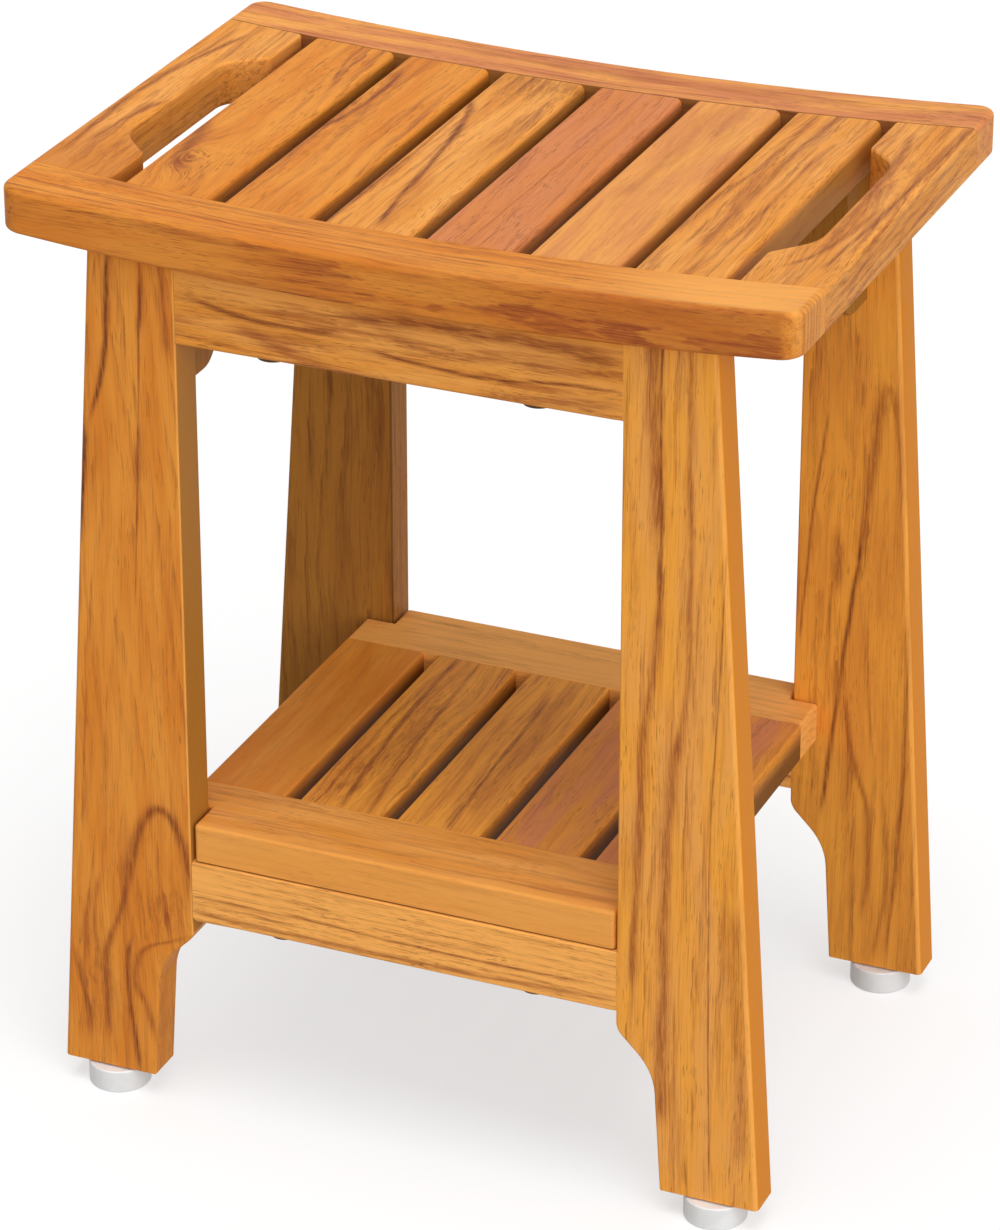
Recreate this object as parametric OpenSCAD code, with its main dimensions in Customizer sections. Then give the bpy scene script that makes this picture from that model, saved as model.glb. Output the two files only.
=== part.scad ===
// Teak shower bench: a dished slatted seat on two leg frames, with a slatted shelf low down.
// X runs along the bench to the right, Y to the back and Z up.
// The origin is on the floor under the middle of the seat.

/* [Seat] */
// Length of the seat, left to right
seat_length = 380; // [360:1:460]
// Depth of the seat, front to back
seat_depth = 270; // [260:1:330]
// Height of the seat's raised ends above the floor
seat_height = 465.5; // [420:0.5:520]
// How far the middle of the seat's top lies below its ends
seat_dish = 7; // [3:0.5:12]
// How far the middle of the seat's underside lies below its ends
underside_dish = 8.5; // [3:0.5:12]
// Thickness of the seat's rails at the ends of the seat
seat_rail_thickness = 21.5; // [20:0.5:30]
// Width of the front and back rails of the seat
seat_rail_width = 33; // [31:0.5:45]
// Radius of the seat's corners, seen from above
seat_corner_r = 10; // [3:0.5:20]
// Width of the seat's end rails
end_rail_width = 39.5; // [36:0.5:46]
// Thickness of each seat slat
seat_slat_thickness = 20; // [18:0.5:21]
// Gap between the seat's slats
seat_gap = 7; // [4:0.5:8]
// Rounding of the slats' long top edges
slat_edge_r = 3; // [1:0.5:4]

/* [Finger notches] */
// Length of each finger notch along the end rail's inner edge
notch_length = 134; // [110:1:150]
// Depth of each finger notch into the end rail
notch_depth = 17; // [12:0.5:22]
// Slope of the notch's two ends, in degrees from straight across the rail
notch_slope = 45; // [30:1:60]
// Radius of the notch's two inner corners
notch_corner_r = 20; // [8:0.5:26]
// Radius of the corners at the notch's mouth
notch_mouth_r = 5; // [2:0.5:8]

/* [Leg frames] */
// Thickness of the legs, aprons and stretchers
frame_thickness = 20; // [18:0.5:24]
// How far the legs' faces stand in from the seat's front and back edges
frame_setback = 8.8; // [6:0.2:14]
// Distance from the seat's end to a leg's inner edge
leg_inset = 82.7; // [76:0.1:90]
// Width of a leg where it meets the seat
leg_top_width = 43.3; // [38:0.1:60]
// How far the feet's outer edges stand in from the seat's ends
foot_inset = 11.3; // [-5:0.1:20]
// Width of a leg at its foot, level
foot_width = 48.7; // [40:0.1:60]
// Height of the aprons at the middle of the bench
apron_height = 37.1; // [32:0.1:55]
// Height of the stretcher's lower edge above the floor
stretcher_bottom = 103; // [90:0.5:150]
// Height of the stretcher itself
stretcher_height = 31.4; // [28:0.1:45]
// Straight part of the leg's inner edge below the stretcher
ogee_drop = 5; // [2:0.5:15]
// Radius of the rounded nose of the S-shaped cut
ogee_nose_r = 10; // [4:0.5:16]
// Radius of the hollow of the S-shaped cut
ogee_hollow_r = 30; // [10:1:45]
// Slope of the S-shaped cut between nose and hollow, in degrees from upright
ogee_slope = 45; // [35:1:55]

/* [Corner blocks] */
// Width of a block, left to right
block_width = 26; // [24:0.5:28]
// Length of a block from the leg towards the middle of the bench
block_length = 32; // [28:0.5:40]
// How far the blocks reach below the aprons
block_drop = 27.9; // [20:0.1:36]
// Radius of a block's free lower corner
block_corner_r = 14; // [6:0.5:18]

/* [Shelf] */
// Thickness of the shelf
shelf_thickness = 20; // [18:0.5:24]
// How far the shelf reaches past the legs' inner edges
shelf_overlap = 13.7; // [8:0.1:20]
// Gap between the shelf's slats
shelf_gap = 8; // [5:0.5:9]
// Width of the shelf's front and back rails
shelf_rail_width = 42; // [36:0.5:50]
// How far the shelf's front face stands behind the legs' front faces
shelf_front_setback = 1; // [0.5:0.5:6]
// How far the shelf's back face stands in front of the legs' back faces
shelf_back_setback = 4; // [0.5:0.5:5]
// Clearance between the shelf and the legs
shelf_leg_gap = 1.3; // [0.5:0.1:3]
// Radius of the shelf's outer corners, seen from above
shelf_corner_r = 2; // [1:0.5:4]
// Rounding of the shelf slats' long top edges
shelf_edge_r = 1.5; // [0.5:0.5:3]

/* [Joints in the wood] */
// Thickness of the tenons on slats and end rails
slat_tenon_thickness = 8; // [6:0.5:9]
// Length of the tenons on the shelf's slats
shelf_tenon_length = 12; // [8:0.5:16]
// Shoulder at each side of a slat's tenon
slat_shoulder = 4; // [3:0.5:8]
// Shoulder at each side of an end rail's tenon
end_rail_shoulder = 7; // [5:0.5:10]
// Thickness of the tenons on aprons and stretchers
frame_tenon_thickness = 8; // [6:0.5:9]
// Length of the tenons on aprons and stretchers
frame_tenon_length = 22; // [16:0.5:22]
// Shoulder above and below a tenon on an apron or stretcher
frame_shoulder = 6; // [4:0.5:8]
// Play round a tenon, on each side
tenon_play = 0.1; // [0.05:0.05:0.2]
// Space for glue beyond a tenon's end
glue_space = 0.5; // [0.3:0.1:1]

/* [Fasteners] */
// Distance of each bolt from the leg beside it
bolt_to_leg = 43.3; // [30:0.1:60]
// Distance of the bolts behind the legs' outer faces
bolt_inset = 10.6; // [9.5:0.1:11]
// Shank diameter of the bolts
bolt_d = 6; // [5:0.5:6]
// Diameter of the bolts' flat heads
bolt_head_d = 15; // [12:0.5:17]
// Thickness of the bolts' heads
bolt_head_h = 2; // [1.5:0.1:3.5]
// Width of the hexagonal socket in a bolt's head, across its corners
socket_d = 4; // [3:0.1:5]
// Length of a seat bolt under its head
seat_bolt_length = 49; // [46:0.5:50]
// Length of a shelf bolt under its head
shelf_bolt_length = 45; // [40:0.5:46]
// Outer diameter of the threaded inserts
insert_d = 8.5; // [8:0.1:8.8]
// Length of the inserts in the seat and the shelf
insert_length = 13; // [10:0.5:14]
// How far those inserts are sunk into the wood
insert_sink = 0.5; // [0.3:0.1:1]
// Wood left between an insert and the tenon of a seat slat or end rail
insert_wall = 1.4; // [1:0.1:3]
// Shank diameter of the corner blocks' screws
screw_d = 4; // [3:0.5:4.5]
// Head diameter of the corner blocks' screws
screw_head_d = 8; // [6:0.5:9]
// Length of the corner blocks' screws
screw_length = 45; // [40:0.5:48]
// Wood between a screw's head and the outer side of its corner block
screw_edge = 1; // [0.5:0.1:3]
// Height of the lower screw above the corner block's round corner
lower_screw_rise = 8; // [6:0.5:10]
// Height of the upper screw above the apron's lower edge
upper_screw_rise = 12; // [10:0.5:16]
// Diameter of the corner blocks' dowels
dowel_d = 8; // [6:0.5:10]
// Length of the corner blocks' dowels
dowel_length = 30; // [24:0.5:34]
// How far a dowel reaches into the seat's slat
dowel_in_slat = 11; // [8:0.5:13]

/* [Glides] */
// Diameter of a glide's pad
pad_d = 30; // [22:0.5:36]
// Height of a glide's pad
pad_height = 11.7; // [8:0.1:16]
// Bevel round the pad's lower edge
pad_bevel = 0.8; // [0.4:0.1:2]
// Diameter of the glide's threaded stem
stem_d = 6; // [5:0.5:8]
// How far a glide screws out of the leg
glide_travel = 6; // [3:0.5:8]
// Length of stem that stays above the insert when the glide is screwed out
stem_spare = 4; // [2:0.5:8]
// Outer diameter of the insert in the leg's end
leg_insert_d = 10; // [9:0.5:11]
// Length of the insert in the leg's end
leg_insert_length = 15; // [12:0.5:18]
// Diameter of the insert's flange under the leg
flange_d = 15; // [13:0.5:18]
// Thickness of the insert's flange, which holds the pad off the leg
flange_h = 0.8; // [0.5:0.1:1.5]
// Play round a shank in its thread, measured on the radius
thread_play = 0.05; // [0.02:0.01:0.1]
// Play round a shank in a plain drilled hole, measured on the radius
drill_play = 0.3; // [0.2:0.05:0.6]

/* [Hidden] */
$fn = 96;
big_arc_fn = 1440;
seat_slats = 6;
shelf_slats = 5;
far = 1000;
sides = ["left", "right"];
rows = ["front", "back"];

// Levels
leg_bottom = pad_height + flange_h;
stretcher_top = stretcher_bottom + stretcher_height;
shelf_top = stretcher_top + shelf_thickness;

// Seat: both curves are arcs through the seat's ends, with their centres above the bench
seat_half = seat_length / 2;
top_r = arc_radius(seat_half, seat_dish);
top_centre = seat_height - seat_dish + top_r;
underside_end = seat_height - seat_rail_thickness;
underside_r = arc_radius(seat_half, underside_dish);
underside_centre = underside_end - underside_dish + underside_r;
end_rail_inner = seat_half - end_rail_width;
seat_pitch = (2 * end_rail_inner - seat_gap) / seat_slats;
seat_slat_width = seat_pitch - seat_gap;
seat_joint_y = seat_depth / 2 - seat_rail_width;

// Leg frames, on the right
frame_y = seat_depth / 2 - frame_setback;
frame_inner_y = frame_y - frame_thickness;
frame_mid_y = frame_y - frame_thickness / 2;
leg_inner_x = seat_half - leg_inset;
leg_outer_top_x = leg_inner_x + leg_top_width;
foot_outer_x = seat_half - foot_inset;
foot_inner_x = foot_outer_x - foot_width;
foot_x = foot_outer_x - foot_width / 2;
frame_top = underside_end - underside_dish;
apron_bottom = frame_top - apron_height;
leg_lean = (foot_outer_x - leg_outer_top_x) / (underside_z(leg_outer_top_x) - leg_bottom);

// Shelf
shelf_half = leg_inner_x + shelf_overlap;
shelf_pitch = (2 * shelf_half + shelf_gap) / shelf_slats;
shelf_slat_width = shelf_pitch - shelf_gap;
tongue_half = leg_inner_x - shelf_leg_gap;
shelf_notch_y = frame_inner_y - shelf_leg_gap;
shelf_front_y = -frame_y + shelf_front_setback;
shelf_back_y = frame_y - shelf_back_setback;

// Bolts, screws and dowels, for the right side
bolt_x = leg_inner_x - bolt_to_leg;
bolt_y = frame_y - bolt_inset;
seat_tenon_reach = bolt_y - insert_d / 2 - insert_wall;
last_slat_x = seat_slat_x(seat_slats);
block_x = (max(leg_inner_x, last_slat_x - seat_slat_width / 2)
    + min(leg_outer_top_x, last_slat_x + seat_slat_width / 2)) / 2;
block_inner_x = block_x - block_width / 2;
block_outer_x = block_x + block_width / 2;
block_bottom = apron_bottom - block_drop;
block_end_y = frame_inner_y - block_length;
screw_x = block_outer_x - screw_head_d / 2 - screw_edge;
screw_levels = [block_bottom + block_corner_r + lower_screw_rise, apron_bottom + upper_screw_rise];
dowel_y = block_end_y + block_length / 2;
dowel_top = top_z(block_x) - seat_slat_thickness + dowel_in_slat;

// Glides
stem_bottom = pad_height / 3;
stem_top = pad_height + flange_h + leg_insert_length + glide_travel + stem_spare;

// Radius of the arc that rises by rise over half its chord
function arc_radius(half_chord, rise) = (half_chord * half_chord + rise * rise) / (2 * rise);
// Height of the seat's top and of its underside at a distance x from the middle
function top_z(x) = top_centre - sqrt(top_r * top_r - x * x);
function underside_z(x) = underside_centre - sqrt(underside_r * underside_r - x * x);
// Slope of the seat's top, in degrees
function top_slope(x) = asin(x / top_r);
// Centre of the arc that rounds off corner p, and the arc's end on one of p's edges
function corner_centre(p, a, b, r) =
    p + r / sin((b - a) / 2) * [cos((a + b) / 2), sin((a + b) / 2)];
function corner_start(p, edge, turn, r) = p + r / tan(turn / 2) * [cos(edge), sin(edge)];
// Middle of seat slat i and of shelf slat i, counted from the left
function seat_slat_x(i) = (i - (seat_slats + 1) / 2) * seat_pitch;
function shelf_slat_x(i) = (i - (shelf_slats + 1) / 2) * shelf_pitch;

// Placing helpers: the right side and the back row are drawn, and the others are mirrored
module on_side(side) {
    if (side == "left") mirror([1, 0, 0]) children();
    else children();
}
module in_row(row) {
    if (row == "front") mirror([0, 1, 0]) children();
    else children();
}
module at_each_corner() {
    for (row = rows, side = sides) on_side(side) in_row(row) children();
}
// A profile drawn in X and Z, extruded from y0 to y1
module along_y(y0, y1) {
    translate([0, y1, 0]) rotate([90, 0, 0]) linear_extrude(y1 - y0) children();
}
// A profile drawn in Y and Z, extruded from x0 to x1
module along_x(x0, x1) {
    translate([x0, 0, 0]) rotate([90, 0, 90]) linear_extrude(x1 - x0) children();
}
// A box between two opposite corners
module box(low, high) {
    translate(low) cube(high - low);
}
// What a rounding of radius r takes off a square corner at the origin
module corner_waste(r) {
    difference() {
        translate([-1, -1]) square(r + 1);
        translate([r, r]) circle(r = r);
    }
}
// A rectangle w wide and h high below the origin's level, with its two top corners rounded
module eased_section(w, h, r) {
    difference() {
        translate([-w / 2, -h]) square([w, h]);
        for (m = [0, 1]) mirror([m, 0]) translate([-w / 2, 0]) mirror([0, 1]) corner_waste(r);
    }
}

// Seat: the space above the underside's arc and below the top's arc
module seat_section(x0, x1) {
    difference() {
        intersection() {
            translate([x0, underside_end - far / 2]) square([x1 - x0, far]);
            translate([0, underside_centre]) circle(r = underside_r, $fn = big_arc_fn);
        }
        translate([0, top_centre]) circle(r = top_r, $fn = big_arc_fn);
    }
}
// Puts a slat's own frame on the seat's top at a distance x from the middle
module on_seat(x) {
    translate([x, 0, top_z(x)]) rotate([0, -top_slope(x), 0]) children();
}
module seat_slat_tenon(play) {
    half = seat_slat_width / 2 - slat_shoulder + play;
    rise = slat_tenon_thickness / 2 + play;
    reach = seat_tenon_reach + (play > 0 ? glue_space : 0);
    translate([0, 0, -seat_slat_thickness / 2]) box([-half, -reach, -rise], [half, reach, rise]);
}
module end_rail_tenon(play) {
    middle = seat_half - end_rail_width / 2;
    half = end_rail_width / 2 - end_rail_shoulder + play;
    rise = slat_tenon_thickness / 2 + play;
    level = (top_z(middle) + underside_z(middle)) / 2;
    reach = seat_tenon_reach + (play > 0 ? glue_space : 0);
    translate([middle, 0, level]) box([-half, -reach, -rise], [half, reach, rise]);
}

module seat_rail() {
    color("peru") difference() {
        along_y(seat_joint_y, seat_depth / 2) seat_section(-seat_half, seat_half);
        for (side = sides) on_side(side) {
            translate([seat_half, seat_depth / 2, underside_end - far / 2])
                mirror([1, 0, 0]) mirror([0, 1, 0]) linear_extrude(far) corner_waste(seat_corner_r);
            end_rail_tenon(tenon_play);
            insert_hole(underside_z(bolt_x));
        }
        for (i = [1 : seat_slats]) on_seat(seat_slat_x(i)) seat_slat_tenon(tenon_play);
    }
}
module seat_end_rail() {
    color("sandybrown") difference() {
        union() {
            along_y(-seat_joint_y, seat_joint_y) seat_section(end_rail_inner, seat_half);
            end_rail_tenon(0);
        }
        translate([0, 0, underside_end - far / 2]) linear_extrude(far) finger_notch();
    }
}
module finger_notch() {
    turn = 90 + notch_slope;
    mouth = [end_rail_inner, notch_length / 2];
    mouth_centre = corner_centre(mouth, -notch_slope, 90, notch_mouth_r);
    deep = mouth + notch_depth * [1, -tan(notch_slope)];
    deep_centre = corner_centre(deep, 180 - notch_slope, 270, notch_corner_r);
    end = [
        [end_rail_inner - 1, mouth_centre[1]], mouth_centre,
        corner_start(mouth, -notch_slope, turn, notch_mouth_r),
        corner_start(deep, 180 - notch_slope, turn, notch_corner_r), deep_centre,
        corner_start(deep, 270, turn, notch_corner_r)
    ];
    difference() {
        union() {
            polygon(concat(end, [for (i = [len(end) - 1 : -1 : 0]) [end[i][0], -end[i][1]]]));
            for (m = [0, 1]) mirror([0, m]) translate(deep_centre) circle(r = notch_corner_r);
        }
        for (m = [0, 1]) mirror([0, m]) translate(mouth_centre) circle(r = notch_mouth_r);
    }
}
module seat_slat(i) {
    color(i % 2 == 0 ? "goldenrod" : "peru") difference() {
        on_seat(seat_slat_x(i)) {
            along_y(-seat_joint_y, seat_joint_y)
                eased_section(seat_slat_width, seat_slat_thickness, slat_edge_r);
            seat_slat_tenon(0);
        }
        at_each_corner() block_dowel_hole();
    }
}

// Leg frames
module leg_profile() {
    down = 270 + atan(leg_lean);
    up = 90 + ogee_slope;
    nose = [leg_inner_x, stretcher_bottom - ogee_drop - ogee_nose_r * tan(ogee_slope / 2)];
    nose_centre = corner_centre(nose, up - 180, 90, ogee_nose_r);
    hollow = ogee_meeting(nose);
    room = norm(hollow - nose) - ogee_nose_r * tan(ogee_slope / 2);
    hollow_r = min(ogee_hollow_r, room * tan((down - up) / 2));
    hollow_centre = corner_centre(hollow, up, down, hollow_r);
    difference() {
        union() {
            polygon([
                [leg_inner_x, seat_height], [leg_inner_x, nose_centre[1]], nose_centre,
                corner_start(nose, up - 180, 270 - up, ogee_nose_r),
                corner_start(hollow, up, down - up, hollow_r), hollow_centre,
                corner_start(hollow, down, down - up, hollow_r), [foot_inner_x, leg_bottom],
                [foot_outer_x, leg_bottom],
                [foot_outer_x - leg_lean * (seat_height - leg_bottom), seat_height]
            ]);
            translate(nose_centre) circle(r = ogee_nose_r);
        }
        translate(hollow_centre) circle(r = hollow_r);
        above_underside();
    }
}
// Where the slope of the S-shaped cut meets the shank's inner edge
function ogee_meeting(nose) =
    let (
        run = tan(ogee_slope),
        z = (nose[0] + run * nose[1] - foot_inner_x - leg_lean * leg_bottom) / (run - leg_lean)
    )
    [foot_inner_x - leg_lean * (z - leg_bottom), z];
// The space that the seat's rails fill, in X and Z
module above_underside() {
    intersection() {
        translate([-far, frame_top - 1]) square([2 * far, far]);
        translate([0, underside_centre]) circle(r = underside_r, $fn = big_arc_fn);
    }
}
module leg() {
    color("goldenrod") difference() {
        along_y(frame_inner_y, frame_y) leg_profile();
        apron_tenons(tenon_play);
        stretcher_tenons(tenon_play);
        for (level = screw_levels) block_screw_at(level, thread_play);
        translate([foot_x, frame_mid_y, leg_bottom]) {
            translate([0, 0, -1]) cylinder(r = leg_insert_d / 2, h = leg_insert_length + 1);
            cylinder(r = stem_d / 2 + drill_play, h = stem_top - leg_bottom + 2);
        }
    }
}
module frame_tenons(bottom, top, play) {
    half = frame_tenon_thickness / 2 + play;
    reach = leg_inner_x + frame_tenon_length + (play > 0 ? glue_space : 0);
    box(
        [-reach, frame_mid_y - half, bottom + frame_shoulder - play],
        [reach, frame_mid_y + half, top - frame_shoulder + play]
    );
}
module apron_tenons(play) {
    frame_tenons(apron_bottom, frame_top, play);
}
module stretcher_tenons(play) {
    frame_tenons(stretcher_bottom, stretcher_top, play);
}
module apron() {
    color("sienna") difference() {
        union() {
            along_y(frame_inner_y, frame_y) difference() {
                translate([-leg_inner_x, apron_bottom])
                    square([2 * leg_inner_x, seat_height - apron_bottom]);
                above_underside();
            }
            apron_tenons(0);
        }
        for (side = sides) on_side(side) bolt_hole(apron_bottom, seat_bolt_length);
    }
}
module stretcher() {
    color("burlywood") difference() {
        union() {
            box([-leg_inner_x, frame_inner_y, stretcher_bottom], [leg_inner_x, frame_y, stretcher_top]);
            stretcher_tenons(0);
        }
        for (side = sides) on_side(side) bolt_hole(stretcher_bottom, shelf_bolt_length);
    }
}

// Corner blocks: each stands on the leg's inner face, under the last slat and the seat's rail
module corner_block() {
    color("saddlebrown") difference() {
        along_x(block_inner_x, block_outer_x) difference() {
            translate([block_end_y, block_bottom])
                square([block_length, seat_height - block_bottom]);
            translate([block_end_y, block_bottom]) corner_waste(block_corner_r);
        }
        along_y(seat_joint_y, seat_depth / 2) above_underside();
        on_seat(last_slat_x) box([-far, -far, -seat_slat_thickness], [far, far, far]);
        for (level = screw_levels) {
            block_screw_at(level, thread_play);
            block_screw_head_at(level, thread_play);
        }
        block_dowel_hole();
    }
}

// Shelf
module shelf_rail_plan(outer_y, joint_y) {
    difference() {
        union() {
            translate([-shelf_half, joint_y]) square([2 * shelf_half, shelf_notch_y - joint_y]);
            translate([-tongue_half, joint_y]) square([2 * tongue_half, outer_y - joint_y]);
        }
        for (m = [0, 1]) mirror([m, 0]) {
            translate([tongue_half, outer_y]) rotate(180) corner_waste(shelf_corner_r);
            translate([shelf_half, shelf_notch_y]) rotate(180) corner_waste(shelf_corner_r);
        }
    }
}
module shelf_slat_tenon(i, play) {
    half = shelf_slat_width / 2 - slat_shoulder + play;
    rise = slat_tenon_thickness / 2 + play;
    reach = shelf_tenon_length + (play > 0 ? glue_space : 0);
    translate([shelf_slat_x(i), 0, shelf_top - shelf_thickness / 2])
        box(
            [-half, shelf_front_y + shelf_rail_width - reach, -rise],
            [half, shelf_back_y - shelf_rail_width + reach, rise]
        );
}
// One shelf rail; outer_y is the distance of its outer face from the middle of the bench
module shelf_rail(row, outer_y) {
    color("chocolate") difference() {
        in_row(row) difference() {
            translate([0, 0, stretcher_top]) linear_extrude(shelf_thickness)
                shelf_rail_plan(outer_y, outer_y - shelf_rail_width);
            for (side = sides) on_side(side) insert_hole(stretcher_top);
        }
        for (i = [1 : shelf_slats]) shelf_slat_tenon(i, tenon_play);
    }
}
module shelf_slat(i) {
    color(i % 2 == 0 ? "darkgoldenrod" : "chocolate") {
        translate([shelf_slat_x(i), 0, shelf_top])
            along_y(shelf_front_y + shelf_rail_width, shelf_back_y - shelf_rail_width)
                eased_section(shelf_slat_width, shelf_thickness, shelf_edge_r);
        shelf_slat_tenon(i, 0);
    }
}

// Bolts, their holes and their inserts
module bolt(bottom, length) {
    translate([bolt_x, bolt_y, bottom]) difference() {
        union() {
            translate([0, 0, -bolt_head_h]) cylinder(r = bolt_head_d / 2, h = bolt_head_h);
            cylinder(r = bolt_d / 2, h = length);
        }
        translate([0, 0, -bolt_head_h - 1]) cylinder(d = socket_d, h = bolt_head_h + 1, $fn = 6);
    }
}
module bolt_hole(bottom, length) {
    translate([bolt_x, bolt_y, bottom - 1]) cylinder(r = bolt_d / 2 + drill_play, h = length);
}
module insert(face) {
    translate([bolt_x, bolt_y, face + insert_sink]) difference() {
        cylinder(r = insert_d / 2, h = insert_length);
        translate([0, 0, -1]) cylinder(r = bolt_d / 2 + thread_play, h = insert_length + 2);
    }
}
module insert_hole(face) {
    translate([bolt_x, bolt_y, face + insert_sink]) {
        translate([0, 0, -2]) cylinder(r = insert_d / 2 + thread_play, h = insert_length + 2);
        cylinder(r = bolt_d / 2 + drill_play, h = insert_length + 2);
    }
}
module four_bolts(bottom, length) {
    color("dimgray") at_each_corner() bolt(bottom, length);
}
module four_inserts(face) {
    color("darkkhaki") at_each_corner() insert(face);
}

// A corner block's screws run level, from the block's free end into the leg
module block_screw_at(level, play) {
    translate([screw_x, block_end_y - play, level])
        rotate([-90, 0, 0]) cylinder(r = screw_d / 2 + play, h = screw_length + 2 * play);
}
module block_screw_head_at(level, play) {
    depth = (screw_head_d - screw_d) / 2;
    translate([screw_x, block_end_y, level]) rotate([-90, 0, 0]) {
        cylinder(r1 = screw_head_d / 2 + play, r2 = screw_d / 2 + play, h = depth);
        translate([0, 0, -1]) cylinder(r = screw_head_d / 2 + play, h = 1);
    }
}
module block_screws() {
    color("silver") at_each_corner() for (level = screw_levels)
        translate([screw_x, block_end_y, level]) rotate([-90, 0, 0]) union() {
            cylinder(r = screw_d / 2, h = screw_length);
            cylinder(r1 = screw_head_d / 2, r2 = screw_d / 2, h = (screw_head_d - screw_d) / 2);
        }
}
module block_dowels() {
    color("burlywood") at_each_corner()
        translate([block_x, dowel_y, dowel_top - dowel_length]) cylinder(r = dowel_d / 2, h = dowel_length);
}
module block_dowel_hole() {
    translate([block_x, dowel_y, dowel_top - dowel_length - glue_space])
        cylinder(r = dowel_d / 2 + thread_play, h = dowel_length + 2 * glue_space);
}

// Glides: a pad with a threaded stem, screwed into a flanged insert in the leg's end
module leg_inserts() {
    color("darkkhaki") at_each_corner() translate([foot_x, frame_mid_y, leg_bottom]) difference() {
        union() {
            translate([0, 0, -flange_h]) cylinder(r = flange_d / 2, h = flange_h);
            cylinder(r = leg_insert_d / 2 - thread_play, h = leg_insert_length);
        }
        translate([0, 0, -flange_h - 1])
            cylinder(r = stem_d / 2 + thread_play, h = leg_insert_length + flange_h + 2);
    }
}
module glide_pad() {
    color("whitesmoke") translate([foot_x, frame_mid_y, 0]) difference() {
        union() {
            cylinder(r1 = pad_d / 2 - pad_bevel, r2 = pad_d / 2, h = pad_bevel);
            translate([0, 0, pad_bevel]) cylinder(r = pad_d / 2, h = pad_height - pad_bevel);
        }
        translate([0, 0, stem_bottom]) cylinder(r = stem_d / 2 + thread_play, h = pad_height);
    }
}
module glide_stem() {
    color("silver") translate([foot_x, frame_mid_y, stem_bottom])
        cylinder(r = stem_d / 2, h = stem_top - stem_bottom);
}

in_row("front") seat_rail();  // seat_front_rail
in_row("back") seat_rail();  // seat_back_rail
for (side = sides)
    on_side(side) seat_end_rail();
for (i = [1 : seat_slats])
    seat_slat(i);
for (row = rows, side = sides)
    on_side(side) in_row(row) leg();
for (row = rows)
    in_row(row) apron();
for (row = rows)
    in_row(row) stretcher();
for (row = rows, side = sides)
    on_side(side) in_row(row) corner_block();
shelf_rail("front", -shelf_front_y);  // shelf_front_rail
shelf_rail("back", shelf_back_y);  // shelf_back_rail
for (i = [1 : shelf_slats])
    shelf_slat(i);
four_bolts(apron_bottom, seat_bolt_length);  // seat_bolts
four_inserts(underside_z(bolt_x));  // seat_inserts
four_bolts(stretcher_bottom, shelf_bolt_length);  // shelf_bolts
four_inserts(stretcher_top);  // shelf_inserts
block_screws();
block_dowels();
leg_inserts();
for (row = rows, side = sides)
    on_side(side) in_row(row) glide_pad();
for (row = rows, side = sides)
    on_side(side) in_row(row) glide_stem();
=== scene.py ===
"""Dresses the teak shower bench: eased boards, oiled teak, plastic glides and steel bolts.

Lengths are millimetres until they reach Blender, which works in metres.
"""

import math
from types import SimpleNamespace

import bpy
import bmesh
from mathutils import Matrix, Vector


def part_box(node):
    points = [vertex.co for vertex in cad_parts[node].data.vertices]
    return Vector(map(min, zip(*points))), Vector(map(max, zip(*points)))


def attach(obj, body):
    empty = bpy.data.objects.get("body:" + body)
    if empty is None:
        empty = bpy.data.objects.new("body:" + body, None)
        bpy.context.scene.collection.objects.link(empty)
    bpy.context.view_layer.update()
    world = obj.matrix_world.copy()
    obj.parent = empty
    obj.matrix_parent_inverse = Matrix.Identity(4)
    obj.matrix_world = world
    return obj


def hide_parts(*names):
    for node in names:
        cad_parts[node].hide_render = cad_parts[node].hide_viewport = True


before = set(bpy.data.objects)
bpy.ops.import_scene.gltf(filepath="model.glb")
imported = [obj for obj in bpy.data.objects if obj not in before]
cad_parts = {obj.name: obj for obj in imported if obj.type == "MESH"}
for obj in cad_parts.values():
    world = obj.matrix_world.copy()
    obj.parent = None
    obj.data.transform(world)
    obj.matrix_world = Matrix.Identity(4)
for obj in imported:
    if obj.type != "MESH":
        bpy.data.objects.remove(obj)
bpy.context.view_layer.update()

MM = 0.001
# How close, in millimetres, a place has to be to a level to count as lying on it
CLOSE = 0.05
# How close, in metres, two points have to be to be one point
SAME_POINT = 0.001 * MM
# In degrees: how little a flat face's parts may bend, and the edge that still shades smoothly
FLAT_ANGLE = 0.2
SMOOTH_ANGLE = 35
SIDES = ("left", "right")
ROWS = ("front", "back")
CORNERS = [f"{row}_{side}" for row in ROWS for side in SIDES]


def box_mm(node):
    """A node's lowest and highest corner in millimetres."""
    low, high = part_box(node)
    return Vector(low) / MM, Vector(high) / MM


def middle_mm(node):
    """The middle of a node's box in millimetres."""
    low, high = box_mm(node)
    return (low + high) / 2


# ---------------------------------------------------------------- modelling


def select_only(piece):
    """Makes a piece the one that Blender's own commands work on."""
    bpy.ops.object.select_all(action="DESELECT")
    piece.select_set(True)
    bpy.context.view_layer.objects.active = piece


def name_piece(piece, name):
    piece.name = name
    piece.data.name = name
    return piece


def board_from(node, name):
    """A copy of a CAD solid as one closed skin, ready to be shaped."""
    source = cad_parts[node]
    piece = source.copy()
    piece.data = source.data.copy()
    for key in list(piece.keys()):
        del piece[key]
    piece.parent = None
    bpy.context.scene.collection.objects.link(piece)
    select_only(piece)
    bpy.ops.mesh.customdata_custom_splitnormals_clear()
    bpy.ops.object.mode_set(mode="EDIT")
    bpy.ops.mesh.select_all(action="SELECT")
    bpy.ops.mesh.remove_doubles(threshold=SAME_POINT)
    bpy.ops.mesh.dissolve_limited(angle_limit=math.radians(FLAT_ANGLE))
    bpy.ops.object.mode_set(mode="OBJECT")
    return name_piece(piece, name)


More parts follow.
